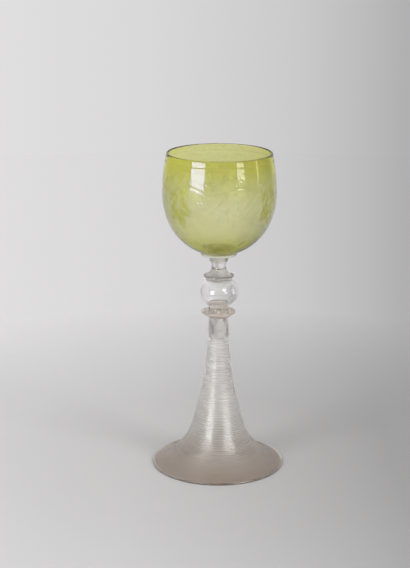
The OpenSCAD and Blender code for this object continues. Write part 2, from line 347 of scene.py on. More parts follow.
def select_where(piece, test):
    """Selects, in edit mode, the vertices whose place passes a test."""
    bpy.ops.mesh.select_all(action="DESELECT")
    bpy.ops.object.mode_set(mode="OBJECT")
    for vertex in piece.data.vertices:
        vertex.select = test(vertex.co)
    bpy.ops.object.mode_set(mode="EDIT")


def make_drop():
    bpy.ops.object.select_all(action="DESELECT")
    bpy.ops.mesh.primitive_uv_sphere_add(segments=32, ring_count=20, radius=DROP_BOTTOM_R * MM)
    drop = bpy.context.object
    drop.name = drop.data.name = "tear_drop_model"
    bpy.ops.object.mode_set(mode="EDIT")
    bpy.ops.mesh.select_mode(type="VERT")
    select_where(drop, lambda co: co.z > 0.01 * MM)
    shrink = DROP_TOP_R / DROP_BOTTOM_R
    bpy.ops.transform.resize(value=(shrink,) * 3, center_override=(0, 0, 0))
    bpy.ops.transform.translate(value=drop_top - drop_bottom)
    bpy.ops.object.mode_set(mode="OBJECT")
    for edge in drop.data.edges:
        ends = [drop.data.vertices[i].co for i in edge.vertices]
        edge.select = (ends[0] - ends[1]).length > DROP_LONG_EDGE * MM
    bpy.ops.object.mode_set(mode="EDIT")
    bpy.ops.mesh.select_mode(type="EDGE")
    bpy.ops.mesh.subdivide(number_cuts=DROP_CUTS)
    bpy.ops.mesh.select_mode(type="VERT")
    bpy.ops.mesh.select_all(action="SELECT")
    bpy.ops.transform.translate(value=drop_bottom)
    bpy.ops.object.mode_set(mode="OBJECT")
    return drop


model = make_drop()
print(f"drop: {DROP_LENGTH} mm long, {len(model.data.polygons)} faces before it is cut to the foot")

# %% Cut it to the foot and copy it round
DROP_COUNT = 6
DROP_TURN = -85.5  # degrees about the axis, to the first drop
DROP_CREASE = 40
SEAT_STEPS = 128


def pick(piece):
    """Selects one piece alone, for the next operator."""
    bpy.ops.object.select_all(action="DESELECT")
    bpy.context.view_layer.objects.active = piece
    piece.select_set(True)


def cut_to_foot(drop):
    """Takes the foot's own round out of the drop, so that it lies on it."""
    seat_side = arc(sweep_centre, sweep_r + FUSE, 180, 180 + FOOT_TURN / 2, 24)
    foot_round = turn("drop_seat", [
        Vector((0, foot_h)), Vector((FOOT_TOP_R - FUSE, foot_h)),
        *seat_side[1:], Vector((0, seat_side[-1].y)),
    ], SEAT_STEPS)
    pick(drop)
    bpy.ops.object.modifier_add(type="BOOLEAN")
    cut = drop.modifiers[-1]
    cut.operation, cut.solver, cut.object = "DIFFERENCE", "EXACT", foot_round
    bpy.ops.object.modifier_apply(modifier=cut.name)
    bpy.data.objects.remove(foot_round)
    close_up(DROP_CREASE)


def copy_round(model, number):
    """A copy with its own mesh, turned to its place about the axis."""
    drop = model.copy()
    drop.data = model.data.copy()
    drop.name = drop.data.name = f"glass_drop_{number}"
    bpy.context.collection.objects.link(drop)
    pick(drop)
    drop.rotation_euler.z = math.radians(DROP_TURN + 360 * (number - 1) / DROP_COUNT)
    bpy.ops.object.transform_apply(location=False, rotation=True, scale=False)
    return drop


cut_to_foot(model)
drops = [copy_round(model, i + 1) for i in range(DROP_COUNT)]
bpy.data.objects.remove(model)
print(f"glass drops: {DROP_COUNT} of {len(drops[0].data.polygons)} faces")


# %% [markdown]
# ## Collars, rings and neck
#
# Between foot and bowl stand discs of clear glass, each squeezed out to a rounded edge. All share one
# outline: flat below and above, with straight cones that run into a small round at the widest place. The neck
# is the other kind, a waist drawn thin, so its side is a hollow arc. The short neck under the ball is waisted
# too, but it is a tube, because the ball's hollow goes on through it.

# %% Turn the lower disc
STEM_STEPS = 128


def tangent_angle(point, centre, radius, side):
    """Direction from a circle's centre to where a line from the point touches it."""
    away = point - centre
    return math.degrees(math.atan2(away.y, away.x) + side * math.acos(radius / away.length))


def rounded_edge(low, high, centre, radius, steps=14):
    """The round at a disc's widest place, between the cones from a low and to a high point."""
    start = tangent_angle(low, centre, radius, 1)
    return arc(centre, radius, start, tangent_angle(high, centre, radius, -1), steps)


def disc(name, node, base_r, top_r, edge_z, edge, below_top=0.0):
    """A disc in a node's place, or ending some way below the node's top."""
    bottom, top, r = foot_of(node), top_of(node) - below_top, radius_of(node)
    low, high = Vector((base_r, bottom)), Vector((top_r, top))
    centre = Vector((r - edge / 2, bottom + edge_z))
    return turn(name, [
        Vector((0, bottom)), low, *rounded_edge(low, high, centre, edge / 2), high,
        Vector((top_r, top + FUSE)), Vector((0, top + FUSE)),
    ], STEM_STEPS)


BALL_FOOT_R = 7
BALL_NECK = 2.75  # height of the short neck under the ball
lower_disc = disc("lower_disc", "lower_collar", BALL_FOOT_R, BALL_FOOT_R, edge_z=3.4, edge=1.7,
                  below_top=BALL_NECK)

# %% Turn the short neck under the ball
BALL_NECK_BORE_R = 5.7
BALL_NECK_HOLLOW_R = 4.23
BALL_NECK_HOLLOW_OUT = 4  # from its seats out to the centre of its hollow side
BALL_NECK_SPAN = 19  # degrees of that side, up and down
ball_neck_high = top_of("lower_collar")
ball_neck_low = ball_neck_high - BALL_NECK
ball_neck_hollow = Vector((BALL_FOOT_R + BALL_NECK_HOLLOW_OUT, (ball_neck_low + ball_neck_high) / 2))
disc_neck = turn("disc_neck", [
    Vector((BALL_NECK_BORE_R, ball_neck_low)), Vector((BALL_FOOT_R, ball_neck_low)),
    *arc(ball_neck_hollow, BALL_NECK_HOLLOW_R, 180 + BALL_NECK_SPAN, 180 - BALL_NECK_SPAN, 8),
    Vector((BALL_FOOT_R, ball_neck_high + FUSE)), Vector((BALL_NECK_BORE_R, ball_neck_high + FUSE)),
    Vector((BALL_NECK_BORE_R, ball_neck_low)),
], STEM_STEPS)

# %% Turn the other discs
BALL_TOP_R = 8.3
NECK_SEAT_R = 6.4
BEAD_SEAT_R = 5.2
thin_ring = disc("thin_ring", "knop_ring", BALL_TOP_R, BALL_TOP_R, edge_z=0.75, edge=1.1)
upper_disc = disc("upper_disc", "upper_collar", BALL_TOP_R, NECK_SEAT_R, edge_z=1.3, edge=1.6)
bead_ring = disc("bead_ring", "neck_ring", BEAD_SEAT_R, BEAD_SEAT_R, edge_z=1.75, edge=2.6)

# %% Turn the neck
NECK_WAIST_R = 4.8
NECK_WAIST_Z = 4.8  # up from the neck's foot
NECK_HOLLOW_R = 8
neck_low, neck_high = foot_of("stem_neck"), top_of("stem_neck")
neck_hollow = Vector((NECK_WAIST_R + NECK_HOLLOW_R, neck_low + NECK_WAIST_Z))
neck_side = arc(
    neck_hollow, NECK_HOLLOW_R,
    180 + math.degrees(math.asin(NECK_WAIST_Z / NECK_HOLLOW_R)),
    180 - math.degrees(math.asin((neck_high - neck_hollow.y) / NECK_HOLLOW_R)), 20)
neck = turn("waisted_neck", [
    Vector((0, neck_low)), *neck_side,
    Vector((neck_side[-1].x, neck_high + FUSE)), Vector((0, neck_high + FUSE)),
], STEM_STEPS)


# %% [markdown]
# ## The hollow ball
#
# The ball is blown, so it has a thin wall and air inside, which is why it shows fine dark lines at its sides
# and not the upside-down picture of a solid marble. Its outline is a closed loop that stays off the axis: out
# along the side, and back along the inner wall. The ring above stops the small hole in its top. Below, the
# hollow runs on through the short neck, down to the flat top of the lower disc.

# %% Turn the ball
BALL_ROUND = 9.5
BALL_WALL = 1.6
BALL_BORE_R = 0.6  # the small hole in its top
BALL_HOLLOW_END = -50  # degrees, where the hollow turns down into the neck
ball_low, ball_high = foot_of("ball_knop"), top_of("ball_knop")
ball_x = radius_of("ball_knop") - BALL_ROUND
ball_drop = math.degrees(math.acos((BALL_FOOT_R - ball_x) / BALL_ROUND))
ball_rise = math.degrees(math.acos((BALL_TOP_R - ball_x) / BALL_ROUND))
ball_centre = Vector((ball_x, ball_low + BALL_ROUND * math.sin(math.radians(ball_drop))))
ball_outside = arc(ball_centre, BALL_ROUND, -ball_drop, ball_rise, 36)
ball_inside = [*arc(ball_centre, BALL_ROUND - BALL_WALL, 90, BALL_HOLLOW_END, 28),
               Vector((BALL_NECK_BORE_R, ball_low))]
ball = turn("hollow_ball", [
    *ball_outside,
    Vector((BALL_TOP_R, ball_high + FUSE)), Vector((BALL_BORE_R, ball_high + FUSE)),
    Vector((BALL_BORE_R, ball_inside[0].y)), *ball_inside, ball_outside[0],
], STEM_STEPS)


# %% [markdown]
# ## The bowl
#
# The bowl is one blown bubble, cracked off and fire-polished at the lip. Its outside is three smooth arcs:
# the bottom, the side and a long slow arc that draws in to the lip. Rows are placed by their distance along
# that line, counted from the widest place, because the engraver's pattern needs many small faces in the
# middle of the wall and few elsewhere.

# %% Describe the bowl's line
BOWL_WALL = 1.3
BOWL_BASE = 2
BOWL_TURN = 28  # slope where the side becomes the bottom
BOWL_DEPTH = 41.2  # from the widest place down
LIP_TUCK = 2.8  # how far the lip is drawn in
bowl_r = radius_of("bowl")
bowl_z = foot_of("bowl") + BOWL_DEPTH
lip_h = top_of("bowl") - bowl_z - BOWL_WALL / 2
upper_r = (lip_h ** 2 + LIP_TUCK ** 2) / (2 * LIP_TUCK)
side_r, bottom_r = two_arcs(bowl_r, BOWL_DEPTH, BOWL_TURN, 90)
lip_slope = math.degrees(math.asin(lip_h / (upper_r - BOWL_WALL / 2)))
upper_length = upper_r * math.radians(lip_slope)
side_length = side_r * math.radians(BOWL_TURN)
bottom_length = bottom_r * math.radians(90 - BOWL_TURN)


def bowl_point(along, off=0.0):
    """A place on the bowl's outside, moved out by off. Along counts up from the widest place."""
    if along >= 0:
        return Vector((bowl_r - upper_r, bowl_z)) + (upper_r + off) * toward(math.degrees(along / upper_r))
    if along > -side_length:
        return Vector((bowl_r - side_r, bowl_z)) + (side_r + off) * toward(math.degrees(along / side_r))
    below = math.degrees((-side_length - along) / bottom_r)
    return Vector((0, bowl_z - BOWL_DEPTH + bottom_r)) + (bottom_r + off) * toward(-BOWL_TURN - below)


print(f"bowl: {bottom_length:.1f} mm of bottom, {side_length:.1f} of side, {upper_length:.1f} up to the lip")

# %% Turn the bowl
BOWL_STEPS = 480
VINE_LOW, VINE_HIGH = -34, 19  # the band that the vine fills
RING_AT = 23.4  # the fine ring cut under the lip
RING_ROWS = np.array([-0.25, -0.1, 0, 0.1, 0.25])
ROW = 0.48
outside_rows = np.concatenate([
    np.linspace(-side_length - bottom_length, VINE_LOW, 26),
    np.arange(VINE_LOW + ROW, VINE_HIGH, ROW),
    np.linspace(VINE_HIGH, RING_AT - 0.45, 7),
    RING_AT + RING_ROWS,
    np.linspace(RING_AT + 0.5, upper_length, 5),
])
lip_centre = Vector((bowl_r - upper_r, bowl_z)) + (upper_r - BOWL_WALL / 2) * toward(lip_slope)
in_side_r, in_bottom_r = two_arcs(bowl_r - BOWL_WALL, BOWL_DEPTH - BOWL_BASE, BOWL_TURN, 90)
in_side_centre = Vector((bowl_r - BOWL_WALL - in_side_r, bowl_z))
in_bottom_centre = Vector((0, bowl_z - BOWL_DEPTH + BOWL_BASE + in_bottom_r))
bowl = turn("blown_bowl", [
    *[bowl_point(along) for along in outside_rows],
    *arc(lip_centre, BOWL_WALL / 2, lip_slope, lip_slope + 180, 8)[1:],
    *arc(Vector((bowl_r - upper_r, bowl_z)), upper_r - BOWL_WALL, lip_slope, 0, 8)[1:],
    *arc(in_side_centre, in_side_r, 0, -BOWL_TURN, 16)[1:],
    *arc(in_bottom_centre, in_bottom_r, -BOWL_TURN, -90, 8)[1:],
], BOWL_STEPS)


# %% [markdown]
# ## The pad
#
# A dab of clear glass holds the bowl: a shallow dish whose upper face is the bowl's own underside. Its top
# line is therefore taken from the bowl's line, a hair inside the bowl's wall so that the two fuse. The place
# of its edge is found by going down that line in small steps until the radius is right.

# %% Turn the pad
PAD_EDGE = 1.8
PAD_R = 12.2
PAD_STEP = 0.01
pad_low = foot_of("bowl_pad")
pad_round = PAD_EDGE / 2
pad_along = -side_length
while bowl_point(pad_along, pad_round).x > PAD_R - pad_round:
    pad_along -= PAD_STEP
pad_edge_centre = bowl_point(pad_along, pad_round)
pad_seat = [bowl_point(along, -FUSE) for along in np.linspace(pad_along, -side_length - bottom_length, 24)]
pad_inward = pad_seat[0] - pad_edge_centre
pad_start = tangent_angle(Vector((BEAD_SEAT_R, pad_low)), pad_edge_centre, pad_round, 1)
pad_end = math.degrees(math.atan2(pad_inward.y, pad_inward.x))
pad = turn("dished_pad", [
    Vector((0, pad_low)), Vector((BEAD_SEAT_R, pad_low)),
    *arc(pad_edge_centre, pad_round, pad_start, pad_end, 14), *pad_seat,
], STEM_STEPS)


# %% [markdown]
# ## The engraver's vine
#
# The cutter's wheel leaves shallow matte hollows: broad leaves with polished veins, bunches of grapes, a
# running stem and curling tendrils, and one fine ring under the lip. Such a vine could be painted as a bump,
# but a real cut has depth and edges that bend light, so each vertex of the wall gets a depth, and a Displace
# modifier sinks it.
#
# The wall is unrolled: one way is the distance round the bowl and the other the distance along its line. One
# repeat of the vine is drawn there, in millimetres. Each drawing tool gives two numbers for every vertex: how
# deep the wheel goes there, and how strong its line is.

# %% Draw a leaf
SOFT_EDGE = 0.45  # how gently a cut begins
FAR_OFF = 9.0  # further than any line is wide
LEAF_EDGE = [(0, 1.0), (15, 0.82), (29, 0.58), (43, 0.76), (57, 0.92), (72, 0.74), (88, 0.5),
             (104, 0.62), (120, 0.72), (142, 0.58), (165, 0.4), (180, 0.14)]  # degrees and reach
LEAF_TEETH, LEAF_TOOTH = 20, 0.035  # how many, and how far each stands out
LEAF_MIDDLE = 0.45  # depth in the middle, as a share of the edge's
LEAF_LINE = 0.3  # half the width of its outline
LEAF_VEINS = (0, 57, -57, 120, -120)
VEIN_HALF = 0.32
VEIN_REACH, VEIN_PROUD = 0.88, 0.8  # how far out a vein runs, and how much of it is left standing


def within(distance, softness=SOFT_EDGE):
    """1 well inside a shape, 0 well outside, from the distance past its edge."""
    return np.clip(0.5 - distance / softness, 0, 1)


def leaf(u, v, place, size, points_to, softness=SOFT_EDGE):
    """A five-lobed leaf, deepest at its edge. Its outline and veins are its lines."""
    du, dv = u - place[0], v - place[1]
    reach = np.hypot(du, dv)
    angle = (np.degrees(np.arctan2(dv, du)) - points_to + 180) % 360 - 180
    edge = size * np.interp(np.abs(angle), *zip(*LEAF_EDGE))
    edge *= 1 + LEAF_TOOTH * np.sin(np.radians(LEAF_TEETH * angle))
    off_vein = np.full_like(reach, FAR_OFF)
    for direction in LEAF_VEINS:
        aside = np.radians(angle - direction)
        near = np.where(np.cos(aside) > 0, np.abs(reach * np.sin(aside)), FAR_OFF)
        off_vein = np.minimum(off_vein, near)
    vein = within(off_vein - VEIN_HALF) * (reach < VEIN_REACH * edge)
    hollow = LEAF_MIDDLE + (1 - LEAF_MIDDLE) * np.clip(reach / edge, 0, 1) ** 2
    depth = within(reach - edge, softness) * hollow * (1 - VEIN_PROUD * vein)
    outline = within(np.abs(reach - edge) - LEAF_LINE)
    return depth, np.maximum(outline, vein)


print(f"a leaf has {LEAF_TEETH} teeth and {len(LEAF_VEINS)} veins")

# %% Draw lines, grapes and tendrils
LINE_DEPTH = 0.6
GRAPE_ROWS = (3, 4, 3, 4, 3, 2, 1)
GRAPE_R = 1.35
GRAPE_APART, GRAPE_BELOW = 2.15 * GRAPE_R, 1.9 * GRAPE_R
GRAPE_RIM, GRAPE_LINE = 0.92 * GRAPE_R, 0.15
CURL_STEPS = 26
CURL_IN = 0.75  # how much of its radius a tendril winds in


def line(u, v, points, width):
    """A cut line through points."""
    away = np.full_like(u, FAR_OFF)
    for (u0, v0), (u1, v1) in zip(points, points[1:]):
        run, up = u1 - u0, v1 - v0
        t = np.clip(((u - u0) * run + (v - v0) * up) / (run ** 2 + up ** 2), 0, 1)
        away = np.minimum(away, np.hypot(u - u0 - t * run, v - v0 - t * up))
    cut = within(away - width / 2)
    return LINE_DEPTH * cut, cut


def grapes(u, v, place):
    """A hanging bunch of round hollows, each with a line round it."""
    depth, lines = np.zeros_like(u), np.zeros_like(u)
    for row, count in enumerate(GRAPE_ROWS):
        for i in range(count):
            across, up = place[0] + (i - (count - 1) / 2) * GRAPE_APART, place[1] - row * GRAPE_BELOW
            away = np.hypot(u - across, v - up)
            depth = np.maximum(depth, np.clip(1 - (away / GRAPE_R) ** 2, 0, 1))
            lines = np.maximum(lines, within(np.abs(away - GRAPE_RIM) - GRAPE_LINE))
    return depth, lines


def curl(place, radius, start, turns):
    """Points of a tendril that winds inwards."""
    points = []
    for done in (i / CURL_STEPS for i in range(CURL_STEPS + 1)):
        reach, angle = radius * (1 - CURL_IN * done), start + turns * math.tau * done
        points.append((place[0] + reach * math.cos(angle), place[1] + reach * math.sin(angle)))
    return points


print(f"a bunch has {sum(GRAPE_ROWS)} grapes")


# %% [markdown]
# ## One repeat, seven times round
#
# A vine round a bowl repeats, but no two repeats cut by hand are alike. So the leaves of every second repeat
# sit a little higher or lower, and the ground round its big leaf is polished clear. Places count in
# millimetres from the middle of the repeat, to the right and up.

# %% Lay out one repeat of the vine
VINE_REPEATS = 7
VINE_TURN = 5.5  # degrees, from the front to the middle of the first repeat
STEM_UP, STEM_WAVE = 8.5, 2.2  # the running stem's height and how far it waves
POLISH_SOFT = 7.0  # how gently the polished ground begins
repeat_width = math.tau * bowl_r / VINE_REPEATS


def vine(angle, v):
    """Depth and lines of the cut, and polish of the ground, at an angle and along the bowl's line."""
    round_way = (angle - math.radians(VINE_TURN)) / math.tau * VINE_REPEATS
    number = np.floor(round_way + 0.5)
    u = (round_way - number) * repeat_width
    sway = np.where(number % 2 == 0, 1.0, -1.0)
    half = repeat_width / 2
    stem = [(x, STEM_UP + STEM_WAVE * math.sin(math.tau * x / repeat_width))
            for x in np.linspace(-half - 2, half + 2, 25)]
    parts = [
        leaf(u, v + 0.8 * sway, (0.5, -3.5), 14.5, -78),
        leaf(u, v - 0.6 * sway, (half - 2.5, -24.5), 7.5, -95),
        grapes(u, v, (-half + 1.4, 1.5)),
        grapes(u, v, (half + 1.4, 1.5)),
        line(u, v, stem, 1.0),
        line(u, v, [(-half + 4, -7.5), (-8, -4), (-3, 1.5), (1, 7.6)], 0.9),
        line(u, v, [(0.5, -5.5), (1.6, -1), (1.2, 3), (1, 7.6)], 0.8),
        line(u, v, [(-half + 1.4, 3), (-half + 2, 8.2)], 0.8),
        line(u, v, [(half + 1.4, 3), (half + 2, 8.2)], 0.8),
        line(u, v, [(-8, 6.6), *curl((-11, 12), 3.4, -0.6, 1.4)], 0.6),
        line(u, v, [(7, 9.7), *curl((9.5, 13.2), 3.2, -2.2, 1.6)], 0.6),
        line(u, v, [(6, 7.5), *curl((9, 2.2), 2.6, 1.9, -1.5)], 0.6),
        line(u, v, [(half - 2.5, -24.5), (half - 3, -19), (half - 5, -15)], 0.7),
    ]
    depth, lines = (np.max(values, axis=0) for values in zip(*parts))
    polished = leaf(1.5 * u, v, (0.7, -1), 15.5, -78, POLISH_SOFT)[0] / LEAF_MIDDLE
    return depth, lines, np.clip(polished, 0, 1) * (sway < 0)


print(f"one repeat of the vine is {repeat_width:.1f} mm wide")


# %% [markdown]
# ## From drawing to glass
#
# The material has to know what the wheel and the years did, so three numbers stay on the mesh as attributes:
# how matte each vertex is, how strong a cut line it has, and how worn it is inside. The ground among the
# leaves was lightly matted too. Numbers fade in and out along the bowl's line, so that no edge shows.

# %% Measure the cut at each vertex
RING_WIDTH, RING_SOFT = 0.6, 0.2
RING_CUT, RING_MATTE = 0.4, 0.6  # the fine ring's shares of a full cut
CUT_MATTE, FAINT_CUT = 1.12, 0.25  # a full line, and the share of it high on the wall
GROUND_MATTE = 0.9  # among the leaves
POLISH_CLEARS = 0.75  # how much of the matting a polished ground loses
CUT_FAINT_FROM, CUT_FULL_AT = 14, 2
GROUND_HIGH, GROUND_LOW = (22.5, -2.5), (-40, -22)  # where the matting fades in, from above and below
WORN_HIGH, WORN_LOW = (16, 6), (-30, -18)
ON_ROW = 0.02  # millimetres from a row of the outside that still count as on it


def wall_places(piece):
    """For each vertex: its angle from the front, how far along the line it lies, and whether outside."""
    co = np.empty(len(piece.data.vertices) * 3)
    piece.data.vertices.foreach_get("co", co)
    x, y, z = co.reshape(-1, 3).T / MM
    r = np.hypot(x, y)
    rows = np.array([bowl_point(along) for along in outside_rows])
    off_row = np.abs(r[:, None] - rows[:, 0]) + np.abs(z[:, None] - rows[:, 1])
    row = off_row.argmin(axis=1)
    return np.arctan2(x, -y), outside_rows[row], off_row[np.arange(len(row)), row] < ON_ROW


def fade(along, start, end):
    """0 at one place along the bowl's line and 1 at another."""
    return np.clip((along - start) / (end - start), 0, 1)


angle, along, outside = wall_places(bowl)
depth, lines, polished = vine(angle, along)
band = outside & (along > VINE_LOW) & (along < VINE_HIGH)
ring = within(np.abs(along - RING_AT) - RING_WIDTH / 2, RING_SOFT) * outside
depth = np.maximum(depth * band, RING_CUT * ring)
lines = np.maximum(lines * band, RING_MATTE * ring)
ground = fade(along, *GROUND_HIGH) * fade(along, *GROUND_LOW) * outside * (1 - POLISH_CLEARS * polished)
cut = lines * np.maximum(fade(along, CUT_FAINT_FROM, CUT_FULL_AT), FAINT_CUT)
matte = np.maximum(CUT_MATTE * cut, GROUND_MATTE * ground)
worn = fade(along, *WORN_HIGH) * fade(along, *WORN_LOW) * ~outside
print(f"vine: {VINE_REPEATS} repeats, {np.mean(matte > 0.5):.0%} of the bowl's vertices are matte")

# %% Cut the vine into the wall
CUT_DEPTH = 0.14
LEAST_CUT = 0.004  # shares of the depth below this are left out


def sink(piece, depth):
    """Sinks every vertex of a wall by its own share of the depth of cut."""
    group = piece.vertex_groups.new(name="cut")
    for i in np.nonzero(depth > LEAST_CUT)[0]:
        group.add([int(i)], float(depth[i]), "REPLACE")
    pick(piece)
    bpy.ops.object.modifier_add(type="DISPLACE")
    wheel = piece.modifiers[-1]
    wheel.vertex_group, wheel.strength, wheel.mid_level = "cut", -CUT_DEPTH * MM, 0
    bpy.ops.object.modifier_apply(modifier=wheel.name)
    piece.vertex_groups.remove(piece.vertex_groups["cut"])


sink(bowl, depth)
notes = {"matte": matte, "lines": lines, "worn": worn}
for name, values in notes.items():
    kept = bowl.data.attributes.new(name, "FLOAT", "POINT")
    kept.data.foreach_set("value", values.astype(np.float32))
print(f"{np.count_nonzero(depth > LEAST_CUT)} vertices cut, up to {CUT_DEPTH} mm deep")


# %% [markdown]
# ## What every glass here is made of
#
# Colour is in glass and not on it: a wall seen edge on, as at the lip, is deeper in colour than a wall seen
# square. A tinted surface can't do that, but a Volume Absorption inside a clear, refracting surface does.
# Glass worked by hand is never quite even, so slow noises wave the surface a little and change its polish.
# A few short helpers set such nodes up, and all of them read the object's own coordinates.

# %% Make a glass
GLASS_IOR = 1.5


def glass(name, tint, density, ior=GLASS_IOR):
    """A refracting, clear surface round a volume that absorbs. Returns the material and its shader."""
    material = bpy.data.materials.new(name)
    material.use_nodes = True
    nodes, links = material.node_tree.nodes, material.node_tree.links
    shader = nodes["Principled BSDF"]
    shader.inputs["Base Color"].default_value = (1, 1, 1, 1)
    shader.inputs["Transmission Weight"].default_value = 1
    shader.inputs["IOR"].default_value = ior
    inside = nodes.new("ShaderNodeVolumeAbsorption")
    inside.inputs["Color"].default_value = (*tint, 1)
    inside.inputs["Density"].default_value = density
    links.new(inside.outputs["Volume"], nodes["Material Output"].inputs["Volume"])
    return material, shader


def noise(look, scale, detail=2.0, stretch=(1, 1, 1)):
    """A noise on the object's own coordinates. Its scale counts features in a metre."""
    nodes, links = look.node_tree.nodes, look.node_tree.links
    place = nodes.new("ShaderNodeTexCoord")
    mapping = nodes.new("ShaderNodeMapping")
    mapping.inputs["Scale"].default_value = stretch
    texture = nodes.new("ShaderNodeTexNoise")
    texture.inputs["Scale"].default_value = scale
    texture.inputs["Detail"].default_value = detail
    links.new(place.outputs["Object"], mapping.inputs["Vector"])
    links.new(mapping.outputs["Vector"], texture.inputs["Vector"])
    return texture.outputs["Fac"]


def ripple(look, shader, waves, depth, strength):
    """A soft unevenness of the surface, in millimetres of depth."""
    nodes, links = look.node_tree.nodes, look.node_tree.links
    bump = nodes.new("ShaderNodeBump")
    bump.inputs["Strength"].default_value = strength
    bump.inputs["Distance"].default_value = depth * MM
    links.new(waves, bump.inputs["Height"])
    links.new(bump.outputs["Normal"], shader.inputs["Normal"])


print(f"glass bends light by an index of {GLASS_IOR}")

# %% Read and join values
def attribute(look, name):
    """A number that the mesh keeps at each vertex."""
    kept = look.node_tree.nodes.new("ShaderNodeAttribute")
    kept.attribute_name = name
    return kept.outputs["Fac"]


def spread(look, value, low, high, start=0.0, end=1.0):
    """Maps a value from start and end to low and high."""
    ranged = look.node_tree.nodes.new("ShaderNodeMapRange")
    for socket, number in (("From Min", start), ("From Max", end), ("To Min", low), ("To Max", high)):
        ranged.inputs[socket].default_value = number
    look.node_tree.links.new(value, ranged.inputs["Value"])
    return ranged.outputs["Result"]


def join(look, operation, first, second):
    """Two values added, multiplied, or the larger of them."""
    joined = look.node_tree.nodes.new("ShaderNodeMath")
    joined.operation = operation
    look.node_tree.links.new(first, joined.inputs[0])
    look.node_tree.links.new(second, joined.inputs[1])
    return joined.outputs["Value"]


def way(look, axis, coordinates="Object"):
    """How far a place lies along an axis, in metres."""
    place = look.node_tree.nodes.new("ShaderNodeTexCoord")
    apart = look.node_tree.nodes.new("ShaderNodeSeparateXYZ")
    look.node_tree.links.new(place.outputs[coordinates], apart.inputs["Vector"])
    return apart.outputs[axis]


def up_from(look, low, high):
    """0 to 1 between two heights in millimetres."""
    return spread(look, way(look, "Z"), 0, 1, low * MM, high * MM)


print("the mesh gives", ", ".join(notes))

# %% Join colours
def two_tone(look, value, first, second):
    """A colour between two, by a value from 0 to 1."""
    ramp = look.node_tree.nodes.new("ShaderNodeValToRGB")
    for stop, colour in zip(ramp.color_ramp.elements, (first, second)):
        stop.color = (*colour, 1)
    look.node_tree.links.new(value, ramp.inputs["Fac"])
    return ramp.outputs["Color"]


def colour_product(look, first, second):
    """The product of two colours."""
    product = look.node_tree.nodes.new("ShaderNodeMix")
    product.data_type, product.blend_type = "RGBA", "MULTIPLY"
    product.inputs["Factor"].default_value = 1
    sockets = [socket for socket in product.inputs if socket.type == "RGBA"]
    for colour, socket in zip((first, second), sockets):
        look.node_tree.links.new(colour, socket)
    return next(socket for socket in product.outputs if socket.type == "RGBA")


print("colours blend by height and by the wheel's lines")


# %% [markdown]
# ## Green glass for the bowl
#
# The bowl's yellow green takes away blue and leaves red and green nearly alone. Where the wall is matted, it
# is rougher and less clear, and so it looks hazy. The cut lines are painted a shade darker than the haze, a
# painted shade for the dark edges where a cut bends light, with a fine speckle from the grit of the wheel.
# Use has dulled the inside a little, and towards the pad the colour is painted darker, as painted shade.

# %% Mix the green glass
FULL_CUT = 1.45  # the matting that would give all of the next two
CUT_ROUGH, CUT_CLEAR = 0.29, 0.652
WORN_ROUGH = 0.15
# Painted shade for the cut lines: a darker colour in place of the dark edges where a real cut bends light.
PAINTED_LINE_SHADE = (0.84, 0.85, 0.76)
# Painted shade: the colour below darkens the bowl low down, towards the pad.
BOWL_PAINTED_SHADE = (0.85, 0.85, 0.88)
SHADE_FROM, SHADE_TO = 154, 180  # millimetres high
WHITE = (1, 1, 1)
UNEVEN = (0.4, 0.8)  # the part of a noise that changes the polish
green_glass, green = glass("green_glass", (0.932, 0.932, 0.12), 720)
links = green_glass.node_tree.links
where_cut = attribute(green_glass, "matte")
polish = spread(green_glass, noise(green_glass, 90), 0.0, 0.05, *UNEVEN)
rough = join(green_glass, "ADD", spread(green_glass, where_cut, 0.0, CUT_ROUGH, 0, FULL_CUT), polish)
dulled = spread(green_glass, attribute(green_glass, "worn"), 0.0, WORN_ROUGH)
links.new(join(green_glass, "ADD", rough, dulled), green.inputs["Roughness"])
links.new(spread(green_glass, where_cut, 1.0, CUT_CLEAR, 0, FULL_CUT), green.inputs["Transmission Weight"])
ripple(green_glass, green, noise(green_glass, 55, stretch=(1, 1, 0.45)), depth=0.5, strength=0.12)
# Painted shade: the bowl's colour darkens between these two heights, downwards to the pad.
painted_shade = two_tone(green_glass, up_from(green_glass, SHADE_FROM, SHADE_TO), BOWL_PAINTED_SHADE, WHITE)
speckle = spread(green_glass, noise(green_glass, 420, 3.0), -0.4, 0.4, 0.35, 0.65)
where_lines = join(green_glass, "ADD", attribute(green_glass, "lines"), speckle)
# Painted shade along the cut lines, with a speckle of random tone.
line_shade_and_speckle = two_tone(green_glass, where_lines, WHITE, PAINTED_LINE_SHADE)
links.new(colour_product(green_glass, painted_shade, line_shade_and_speckle), green.inputs["Base Color"])
print("green glass: absorbs blue, hazy where the wall is matted, darker along the cut lines")


# %% [markdown]
# ## Clear glass for stem and foot
#
# Clear glass of this age is never quite colourless. The neck and the ball are bright, the discs a little
# milky, and the lower disc warm and dull like the foot. The pad under the bowl's green is milky and cream, a
# painted light in place of the bowl's light bent through it.
#
# The foot's glass is brownish and darker at the rim, partly its own tint and partly painted shade, milkier
# the higher it is, and clear again at its very top. A grain too fine to see makes its dullness uneven. The
# thread and the drops melted into the foot, with no face left between them. Here they are meshes of their own
# and would bend light twice, so their glass bends it less.

# %% Mix the clear glasses
DROP_IOR = 1.3


def stem_glass(name, colour, clearness, dull, tint=(0.75, 0.68, 0.6), density=12, grain=140,
               waves=(90, 0.04), ior=GLASS_IOR):
    """Glass of the stem: its surface colour, how much is clear, and how dull it is, from and to."""
    material, shader = glass(name, tint, density, ior)
    shader.inputs["Base Color"].default_value = (*colour, 1)
    shader.inputs["Transmission Weight"].default_value = clearness
    roughness = spread(material, noise(material, grain), *dull, *UNEVEN)
    material.node_tree.links.new(roughness, shader.inputs["Roughness"])
    ripple(material, shader, noise(material, waves[0]), depth=0.3, strength=waves[1])
    return material


